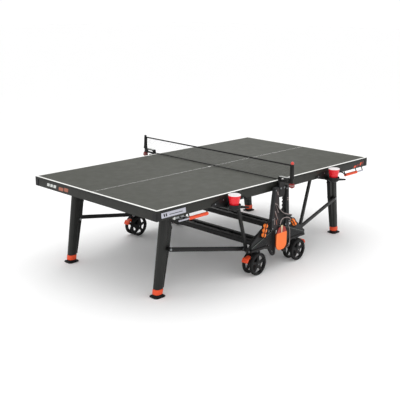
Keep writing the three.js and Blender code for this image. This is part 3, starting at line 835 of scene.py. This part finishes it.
def side_quarter():
    """Guide arm, foot plate, bent tube, pin and brace of one quarter of the chassis."""
    piece = Piece(STEEL, PLASTIC, ZINC)
    piece.add(plate(guide_arm(24, 8.5, (46, 184)), (766, 776), 1.6))
    # foot plate, cut back along the guide slot
    piece.plates([(160, 207), (382, 207), (382, 252), (312, 302), (140, 302)], [10, 14, 14, 24, 6],
                 (766.6, 775.4), 1.6, corners=6)
    piece.add(rounded_box((330, 752, 207), (382, 770, 252), 3))
    x, z = BASE_PIN
    piece.add(rod((x, 684, z), (x, 770, z), 10), 2)
    piece.add(plate(circle(x, z, 16, 6), (674.5, 683.5), 1.5), 2)
    piece.bolts([(x, 775, z) for x, z in ((320, 222), (176, 222), (162, 288), (300, 288), (366, 222))],
                6.5, 4, 2)
    tube_line = [(60, TUBE_Y, 410), (60, TUBE_Y, 134), (86, TUBE_Y, 134), (148, TUBE_Y, 221),
                 (352, TUBE_Y, 221)]
    piece.add(tube(tube_line, 12.5, [15, 13, 26], 6))
    piece.add(ball((352, TUBE_Y, 221), 12.3, 12), 1)
    piece.add(rod((96.5, 795.7, 466.6), (288, 745, 301), 9, 1.5))
    piece.add(rounded_box((276, 736, 293), (300, 768, 306), 2.5))
    return piece


UPRIGHT_Y = (775, 812)
BOLT_Y = UPRIGHT_Y[1] - 0.4

# broad upright, with a darker decorated band of plain slanted bars along its inner edge
broad = Piece(PANEL, BROWN, DULL, RUST, ZINC)
broad.plates([(46, 716), (92, 716), (112, 560), (128, 430), (128, 356), (40, 356), (27, 430), (28, 520),
              (37, 600)], [6, 14, 40, 40, 16, 8, 20, 40, 60], UPRIGHT_Y, 3.5, steps=3)
broad.plates([(50, 708), (82, 708), (96, 560), (104, 440), (104, 366), (44, 366), (32, 440), (33, 520),
              (42, 600)], 6, (811, 813), 0.5, 1, 4)
for top_x, top_z, foot_x, foot_z, wide, slot in (
        (73, 684, 54, 652, 9, 2), (95, 590, 42, 498, 10, 2), (97, 522, 52, 446, 9, 2),
        (88, 500, 50, 434, 4, 3), (99, 462, 92, 404, 7, 2), (78, 440, 60, 396, 6, 3)):
    bar = [(foot_x, foot_z), (foot_x + wide, foot_z), (top_x, top_z), (top_x - wide, top_z)]
    broad.plates(bar, 1, (812.6, 813.6), 0.25, slot, 2, steps=1)
broad.bolts([(x, BOLT_Y, z) for x, z in ((84, 694), (114, 450), (116, 372))], 4.5, 2, 4)

# narrow upright: a deep outer part and a thin inner flange with rounded notches
narrow = Piece(PANEL, PLASTIC, DULL, ZINC)
narrow.plates([(60, 716), (84, 716), (94, 560), (104, 430), (104, 356), (60, 356)], [4, 6, 40, 40, 10, 4],
              UPRIGHT_Y, 2.5, corners=4, steps=3)
FLANGE_X, NOTCH_RADIUS = 36, 11
flange = [(62, 716), (62, 356), (FLANGE_X, 356)]
for low in (510, 541, 572):
    notch = [(FLANGE_X + NOTCH_RADIUS * math.sin(a), low + 15 - NOTCH_RADIUS * math.cos(a))
             for a in (0.3, 0.8, 1.3, 1.84, 2.34, 2.84)]
    flange += [(FLANGE_X, low), (FLANGE_X, low + 4), *notch, (FLANGE_X, low + 26)]
flange += [(FLANGE_X, 604), (44, 612), (44, 716)]
narrow.add(plate(flange, (777, 787), 1))
narrow.plates([(66, 700), (78, 700), (90, 560), (98, 430), (98, 370), (76, 370), (74, 430), (70, 560)], 5,
              (811, 813.2), 0.6, 1, 4)
for z in (584, 601):
    narrow.plates([(64, z + 1), (84, z), (84, z + 8), (64, z + 9)], 2, (812.4, 813.8), 0.3, 2, 3)
narrow.bolts([(58, BOLT_Y, z) for z in (690, 470, 376)], 4.5, 2, 3)

# gusset between the uprights' heads, and the web plate lower down
head = Piece(STEEL, PLASTIC, ZINC)
head.plates([(-52, 757), (30, 757), (30, 640), (14, 622), (-38, 622), (-52, 640)], [6, 6, 4, 6, 6, 4],
            (779, 800), 3, steps=3)
head.add(rounded_box((-58, 780, 390), (42, 800, 508), 5))
head.plates([(-46, 716), (24, 716), (24, 650), (-46, 650)], 8, (799, 803), 1, 1)
head.bolts([(x, 802.6, 700) for x in (-34, 12)], 6, 4, 2)

quarter = side_quarter()
for side, sy in SIDES.items():
    for half, sx in HALVES.items():
        quarter.place(f"guide_plate_{half}_{side}", "chassis", "satin_black_steel", sx, sy)
    stands = [f"side_frame_{side}"]
    broad.place(f"broad_upright_{side}", "chassis", "black_plastic", sy, sy, stands_for=stands)
    narrow.place(f"notched_upright_{side}", "chassis", "black_plastic", -sy, sy)
    head.place(f"tower_head_{side}", "chassis", "black_plastic", sy, sy)


def crossing(loop, point, direction):
    """The stretches of a line that lie inside a closed outline."""
    hits = []
    for first, second in zip(loop, loop[1:] + loop[:1]):
        edge = second - first
        spread = direction.x * edge.y - direction.y * edge.x
        if abs(spread) < 1e-9:
            continue
        gap = first - point
        along = (gap.x * edge.y - gap.y * edge.x) / spread
        share = (gap.x * direction.y - gap.y * direction.x) / spread
        if 0 <= share < 1:
            hits.append(along)
    hits.sort()
    return [(point + a * direction, point + b * direction) for a, b in zip(hits[::2], hits[1::2])]


panel = Piece(PANEL, EDGE_HIGHLIGHT_GREY, PLASTIC)
panel.plates([(73.5, 354), (73.5, 166), (89, 166), (131, 225), (148, 236), (354, 236), (354, 246)],
             [4, 10, 10, 12, 12, 3, 3], (783, 789), 1.2)
# fine crossed ribs over its face
RIB_PITCH, SHORTEST_RIB = 11, 6
inner = [Vector(p) for p in [(84, 334), (84, 182), (124, 232), (144, 244), (322, 244)]]
for slope in (0.75, -0.75):
    direction = Vector((1, slope)).normalized()
    for i in range(-14, 42):
        for begin, end in crossing(inner, Vector((80, 60 + RIB_PITCH * i)), direction):
            if (end - begin).length > SHORTEST_RIB:
                panel.add(rod((begin.x, 788.9, begin.y), (end.x, 788.9, end.y), 1.1, 0.3, 8), 2)
# painted highlight: a thin pale grey tube along the panel's top edge stands for light caught there
panel.add(tube([(78, 789, 349), (348, 789, 247)], 1.7, 0, 3), 1)
panel.everywhere("panel_{}", "chassis", "black_plastic", stands_for="side_panel_{}")

# raised cover behind each panel, over the caster socket
cover = Piece(PANEL)
cover.plates([(104, 250), (104, 318), (118, 334), (222, 367), (246, 358), (340, 288), (352, 262), (352, 238),
              (140, 238)], [4, 8, 12, 16, 16, 16, 10, 4, 8], (777, 783), 1.6, corners=6)
cover.everywhere("socket_cover_{}", "chassis", "black_plastic")


# ---- ball stores, the bat's hoop and the bat, on the near side ----
store = Piece(PLASTIC)
balls = {"left": [(-206, 416), (-216, 378), (-226, 340)], "right": [(162, 386), (186, 354)]}
BALL_Y, BALL_RADIUS = -808, 20
for half, centres in balls.items():
    ball_piece = Piece(BALL)
    for x, z in centres:
        ball_piece.add(ball((x, BALL_Y, z), BALL_RADIUS))
    ball_piece.place(f"balls_{half}", "chassis", "orange_plastic")
    first, last = Vector(centres[0]), Vector(centres[-1])
    along = (last - first).normalized()
    across = Vector((-along.y, along.x))
    for turn in (-1, 1):
        rail = first - 22 * along + turn * 14 * across, last + 22 * along + turn * 14 * across
        front = [(p.x, BALL_Y - 17, p.y) for p in rail]
        back = [(p.x, BALL_Y + 20, p.y) for p in rail]
        store.add(tube([back[0], front[0], front[1], back[1]], 3.4, 12, 4))
    back_plate = capsule(first, last, 34, (18, 18), 8)
    store.add(plate(back_plate, (BALL_Y + 18, BALL_Y + 22), 1.2))
    anchor = first.lerp(last, 0.5)
    store.add(rod((anchor.x, BALL_Y + 20, anchor.y), (HALVES[half] * 99, -800, anchor.y + 16), 5))
store.place("ball_stores", "chassis", "black_plastic")

bat_low, bat_high = box_mm("bat")
BAT_X, BAT_Y = (bat_low[0] + bat_high[0]) / 2, (bat_low[1] + bat_high[1]) / 2

hoop = Piece(DULL, STEEL)
# moulded hook across the front of the web, with a pale upper edge
hook = [(-76, -812, 572), (-50, -823, 526), (-20, -838, 490), (33, -843, 470), (80, -848, 460)]
hoop.add(tube(hook, 8, [30, 30, 30], 6), 1)
hoop.add(ball((80, -848, 460), 8.4, 14), 1)
hoop.add(tube([(x, y - 4, z + 7) for x, y, z in hook], 3.6, [30, 30, 30], 4))
# wire ring in front of the bat's grip: free at its left end, running on down the right side
hoop.add(tube([(-48, -838, 406), (-44, -844, 444), (-12, -848, 457), (38, -848, 450), (78, -842, 434),
               (98, -830, 404), (100, -806, 380)], 3.6, [16, 24, 20, 18, 12], 5))
hoop.add(ball((-48, -838, 406), 5, 12))
hoop.add(tube([(98, -804, 368), (118, -812, 325), (124, -812, 226), (119, -812, 172), (92, -797, 150)],
              2.8, [22, 30, 12], 4))
hoop.place("bat_hoop", "chassis", "satin_black_steel")


def bat():
    """A core in black rubber, rubber on both faces with its upper part in a darker red as painted shade,
    slats and a wrapped grip.
    """
    piece = Piece(WOOD, BAT_RUBBER, RUBBER, PAINTED_SHADE_RED)

    def layer(outline, radii, depth, edge, slot):
        placed = [(BAT_X + x, bat_low[2] + z) for x, z in outline]
        piece.plates(placed, radii, [BAT_Y + y for y in depth], edge, slot, 8)

    core = [(-71, 0), (71, 0), (71, 150), (40, 204), (14, 208), (14, 240), (-14, 240), (-14, 208),
            (-40, 204), (-71, 150)]
    layer(core, [54, 54, 60, 24, 8, 5, 5, 8, 24, 60], (-3, 3), 0.8, 2)
    for face in ((-5.9, -2.9), (2.9, 5.9)):
        layer([(-69.6, 1.4), (69.6, 1.4), (69.6, 138), (66, 152), (-66, 152), (-69.6, 138)],
              [53, 53, 10, 3, 3, 10], face, 0.7, 1)
        # painted shade: the rubber's upper part on both sides of the handle is a darker red, standing for
        # shade
        for turn in (-1, 1):
            upper = [(5, 152.6), (65.6, 152.6), (39, 200.5), (16, 204)][::turn]
            layer([(turn * x, z) for x, z in upper], [1, 3, 20, 3][::turn], face, 0.7, 3)
        layer([(-3.4, 150), (3.4, 150), (12.6, 206), (12.6, 217), (-12.6, 217), (-12.6, 206)], 2, face, 1, 0)
    layer([(-13.6, 216), (13.6, 216), (13.6, 241.6), (-13.6, 241.6)], [1, 1, 5, 5], (-6, 6), 1.6, 2)
    return piece


bat().place("bat_visual", "bat", "bat_rubber", stands_for=["bat"])


# ---- net and its posts ----
POST_FOOT = (758, 763.7)
for side, sy in SIDES.items():
    near = side == "near"
    post = Piece(STEEL, CAP, PALE, ZINC)
    post.add(rounded_box((-14, 766, POST_FOOT[0]), (14, POST_Y + 11, POST_FOOT[1]), 1.6))
    for x in (-14, 3):
        cheek = [(768, 762.8), (768, 790), (776, 797), (POST_Y - 16, 797), (POST_Y, 788), (POST_Y, 762.8)]
        opening = fillet([(787, 768), (POST_Y - 27, 768), (POST_Y - 27, 787), (787, 787)], 4, 4)
        post.add(plate(fillet(cheek, 4, 4), (x, x + 11), 1.6, [opening], axis="X", steps=3))
        # painted highlight: pale grey strips along the cheek tops stand for light caught on their upper edges
        post.add(rounded_box((x + 1.6, 778, 795.4), (x + 9.4, 858, 799), 1.2), 2)
        post.bolts([(x + 5.5, 868, 796.6)], 3.6, 2, 3, "Z")
    post.add(rod((0, POST_Y, 716), (0, POST_Y, POST_FOOT[0] + 1), 8), 3)
    post.add(rod((0, POST_Y, POST_FOOT[0] + 1), (0, POST_Y, 914 if near else 918), 11, 1.5))
    post.add(lathe([(10.8, 797.2), (19, 797.2), (19.6, 800), (16.5, 815), (14.4, 850), (13, 890), (12.2, 908),
                    (10.8, 909)], 40, (0, POST_Y, 0)))
    if near:
        post.add(ball((0, 901, 924), 14), 1)
        post.add(lathe([(0, 908), (12.5, 908), (12.5, 913), (0, 914)], 32, (0, 902, 0)))
    else:
        cap = fillet([(0, 912), (11.9, 912), (11.9, 922), (8, 926), (0, 926)], [0, 1, 3, 3, 0], 3)
        post.add(lathe(cap, 40, (0, POST_Y, 0)))
    post.place(f"post_{side}", "chassis", "satin_black_steel", 1, sy, stands_for=[f"net_post_{side}"])

    knob = Piece(KNOB, PALE)
    lobes = []
    for i in range(96):
        angle = math.tau * i / 96
        radius = 22.4 + 1.4 * math.cos(12 * angle)
        lobes.append(Vector((radius * math.cos(angle), POST_Y + radius * math.sin(angle))))
    knob.add(plate(lobes, (725, 750), 2.2, [circle(0, POST_Y, 9.4, 32)], axis="Z", steps=3))
    # painted highlight: the thin pale ring round the knob's middle stands for a highlight
    for line, steps, slot in ((fillet([(9, 722), (18, 722), (21, 726), (9, 726)], [0, 2, 1, 0], 3), 40, 0),
                              (fillet([(9, 749), (21, 749), (18, 757), (9, 757)], [0, 2, 3, 0], 3), 40, 0),
                              ([(22, 739), (23.9, 739), (23.9, 742), (22, 742)], 48, 1)):
        knob.add(lathe(line, steps, (0, POST_Y, 0)), slot)
    knob.place(f"knob_{side}", f"net_knob_{side}", "orange_plastic", 1, sy, stands_for=[f"net_knob_{side}"])

net_low, net_high = box_mm("net")
NET_Y = (net_low[1], net_high[1])
TAPE_TOP, TAPE_FOOT = 12.5, 9
columns, rows = 120, 12
net_wide, net_tall = NET_Y[1] - NET_Y[0], net_high[2] - net_low[2]
sheet_mesh = bmesh.new()
grid = [[sheet_mesh.verts.new((0, (NET_Y[0] + net_wide * i / columns) * MM,
                               (net_low[2] + net_tall * k / rows) * MM))
         for k in range(rows + 1)] for i in range(columns + 1)]
for i in range(columns):
    for k in range(rows):
        sheet_mesh.faces.new((grid[i][k], grid[i + 1][k], grid[i + 1][k + 1], grid[i][k + 1]))
netting_piece = as_object("netting", sheet_mesh, [NETTING])
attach(netting_piece, "chassis")
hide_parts("net")

tape = Piece(TAPE)
for low, high in ((net_high[2] - TAPE_TOP, net_high[2]), (net_low[2], net_low[2] + TAPE_FOOT)):
    tape.add(rounded_box((-1.3, NET_Y[0], low), (1.3, NET_Y[1], high), 0.9, 2))
for end in (0, 1):
    y = sorted((NET_Y[end], NET_Y[end] + (1 - 2 * end) * 14))
    tape.add(rounded_box((-1.2, y[0], net_low[2]), (1.2, y[1], net_high[2]), 0.8, 2))
tape.add(tube([(0, NET_Y[0] + 2, net_high[2] - 3), (0, NET_Y[1] - 2, net_high[2] - 3)], 1.7, 0, 3))
net_tape = tape.place("net_tape", "chassis", "net_fabric")


# ---- cup holders, cups and release handles ----
def cup_holder(x):
    piece = Piece(PLASTIC, STEEL, ZINC)
    dish = fillet([(0, 640), (36, 640), (52, 656), (52, 683), (46, 683), (46, 671.7), (0, 671.7)],
                  [0, 6, 8, 2.6, 2.6, 3, 0], 5)
    piece.add(lathe(dish, 64, (x, CUP_Y, 0)))
    piece.add(lathe([(51.4, 664), (52.6, 665), (52.6, 668), (51.4, 669)], 64, (x, CUP_Y, 0)), 1)
    back = -APRON_Y - 0.3
    piece.plates([(x - 190, 688), (x - 190, 700), (x - 88, 728), (x + 62, 728), (x + 80, 700),
                  (x + 200, 700), (x + 200, 684), (x + 80, 684), (x + 50, 648), (x - 12, 646)],
                 [5, 5, 16, 12, 10, 5, 5, 10, 14, 20], (back - 6, back), 1.4)
    piece.plates([(x - 172, 691), (x - 84, 714), (x + 50, 714), (x + 64, 690), (x + 42, 660),
                  (x - 8, 660)], 8, (back - 7.4, back - 5), 0.6, 1, 4)
    piece.add(rounded_box((x - 44, back - 30, 650), (x + 44, back - 3, 662), 3))
    piece.plates([(x + 30, -786), (x + 60, -790), (x + 110, -882), (x + 98, -888), (x + 30, -850)],
                 [4, 12, 5, 5, 24], (645, 657), 2.5, axis="Z", steps=3)
    piece.add(tube([(x + 184, back - 2, 690), (x + 186, -790, 690), (x + 190, -830, 670)], 5.4, [14], 6))
    piece.add(ball((x + 190, -829, 670.4), 5.6, 12))
    piece.bolts([(x + dx, back - 5.8, z) for dx, z in ((-150, 698), (-60, 716), (40, 716), (170, 692))],
                4.6, 2.4, 2, sign=-1)
    return piece


def cup(x, base):
    piece = Piece(RED, CUP_WHITE)
    height, low, high, wall, rim = 88, 35, 50, 1.6, 82
    at = lambda z: low + (high - low) * z / height
    body = [(0, 0), (low - 2.5, 0), (low, 2.5), (at(20), 20), (at(21) + 0.7, 21.5), (at(23) + 0.7, 23),
            (at(44) + 0.2, 44), (at(45) + 0.8, 45.5), (at(47) + 0.8, 47), (at(rim), rim),
            (at(rim) - wall, rim), (low - wall + 1, 4), (low - 6, 2.8), (0, 2.8)]
    skin = [(at(rim) - wall, rim), (at(rim), rim), (high, 84), (high, 86.6), (high - 0.8, height),
            (high - wall - 0.8, height), (high - wall - 1.4, 86.6), (at(84) - wall, 84)]
    liner = [(0, 3), (low - 3 - wall, 3), (low - wall, 5), (at(86) - wall - 0.1, 86),
             (at(86) - wall - 0.9, 86), (low - wall - 0.9, 6), (low - 4 - wall, 4), (0, 4)]
    for line, slot in ((body, 0), (skin, 1), (liner, 1)):
        piece.add(lathe([(r, base + z) for r, z in line], 64, (x, CUP_Y, 0)), slot)
    return piece


def handle(x):
    """Orange grip between the first two arms, bare bar out to the third."""
    out = math.copysign(1, x)
    piece = Piece(STEEL, ORANGE, SILVER)
    y, z, grip_y, grip_z = -728, 690, -748, 638
    at = lambda offset, py, pz: (x + out * offset, py, pz)
    for offset in (-95, 95, 200):
        piece.add(rod(at(offset, y, z), at(offset, grip_y, grip_z), 4.6))
        piece.add(rod(at(offset - 6, y, z), at(offset + 6, y, z), 7, 1.5))
    piece.add(rod(at(-107, y, z), at(212, y, z), 4))
    piece.add(rod(at(93, grip_y, grip_z), at(204, grip_y, grip_z), 7), 2)
    radius, groove, pitch = 13.5, 12.4, 15
    line = [(0, -99), (radius - 3, -99), (radius, -95)]
    for i in range(12):
        low = -88 + pitch * i
        line += [(radius, low), (groove, low + 1.2), (groove, low + 2.6), (radius, low + 3.8)]
    line += [(radius, 95), (radius - 3, 99), (0, 99)]
    piece.add(moved(lathe(line, 40), Matrix.Translation((x, grip_y, grip_z)), aim(Vector((1, 0, 0)))), 1)
    return piece


for half in HALVES:
    cup_x, _, _ = middle_mm(f"cup_{half}")
    base = box_mm(f"cup_{half}")[0][2]
    cup(cup_x, base).place(f"beaker_{half}", f"cup_{half}", "red_cup", stands_for=[f"cup_{half}"])
    cup_holder(cup_x).place(f"holder_{half}", f"half_table_{half}", "black_plastic",
                            stands_for=[f"cup_holder_{half}"])
for half, x in (("left", -932), ("right", 1117)):
    handle(x).place(f"handle_{half}", f"release_handle_{half}", "orange_plastic",
                    stands_for=[f"release_handle_{half}"])

centre_mark = Piece(WHITE_LINE)
centre_mark.plates([(-50, -6), (-14, -6), (-14, 6), (-50, 6)], 2, (TOP_Z - 0.4, TOP_Z + 0.5), 0.2,
                   corners=3, axis="Z", steps=1)
centre_mark.place("centre_mark_left", "half_table_left", "playing_surface")


# ---- floor, light and camera ----
def bare(name, code, rough):
    material = bpy.data.materials.new(name)
    material.use_nodes = True
    shader = material.node_tree.nodes["Principled BSDF"]
    shader.inputs["Base Color"].default_value = linear(code)
    shader.inputs["Roughness"].default_value = rough
    shader.inputs["Specular IOR Level"].default_value = 0.2
    return material


floor_mesh = bmesh.new()
FLOOR_REACH, FLOOR_DROP = 60, 0.0005  # metres
floor_mesh.faces.new([floor_mesh.verts.new((x * FLOOR_REACH, y * FLOOR_REACH, -FLOOR_DROP))
                      for x, y in ((-1, -1), (1, -1), (1, 1), (-1, 1))])
as_object("floor", floor_mesh, [bare("studio_floor", "fdfdfd", 0.7)])

world = bpy.data.worlds.new("studio")
world.use_nodes = True
world.node_tree.nodes["Background"].inputs["Color"].default_value = (1, 1, 1, 1)
world.node_tree.nodes["Background"].inputs["Strength"].default_value = 1.02
bpy.context.scene.world = world


def softbox(name, place, target, size, power):
    light = bpy.data.lights.new(name, "AREA")
    light.shape, light.size, light.size_y, light.energy = "RECTANGLE", *size, power
    lamp = in_scene(name, light)
    lamp.location = place
    lamp.rotation_euler = (Vector(target) - Vector(place)).to_track_quat("-Z", "Y").to_euler()


softbox("overhead", (0.2, 0.3, 4.2), (0, 0, 0.5), (4.5, 3.0), 40)
softbox("front_left", (-4.5, -3.2, 2.6), (-0.2, -0.2, 0.5), (2.4, 1.8), 35)
softbox("back_right", (3.6, 3.4, 3.0), (0, 0, 0.6), (2.6, 1.6), 25)

# the camera solved from the photo: focal length for a 36 mm sensor, place in metres, turn in degrees
SENSOR_WIDTH, FOCAL_LENGTH = 36, 65.8
CAMERA_PLACE, CAMERA_TURN = (-4.696, -4.436, 2.177), (-45.69, 15.05, 0.49)
camera_data = bpy.data.cameras.new("camera")
camera_data.sensor_width, camera_data.lens = SENSOR_WIDTH, FOCAL_LENGTH
camera = in_scene("camera", camera_data)
azimuth, elevation, roll = (math.radians(a) for a in CAMERA_TURN)
back = Vector((math.sin(azimuth) * math.cos(elevation), -math.cos(azimuth) * math.cos(elevation),
               math.sin(elevation)))
right = Vector((0, 0, 1)).cross(back).normalized()
up = back.cross(right)
across = right * math.cos(roll) + up * math.sin(roll)
upward = up * math.cos(roll) - right * math.sin(roll)
camera.matrix_world = Matrix.Translation(CAMERA_PLACE) @ Matrix(
    (across, upward, back)).transposed().to_4x4()
bpy.context.scene.camera = camera
bpy.context.scene.view_settings.view_transform = "Standard"
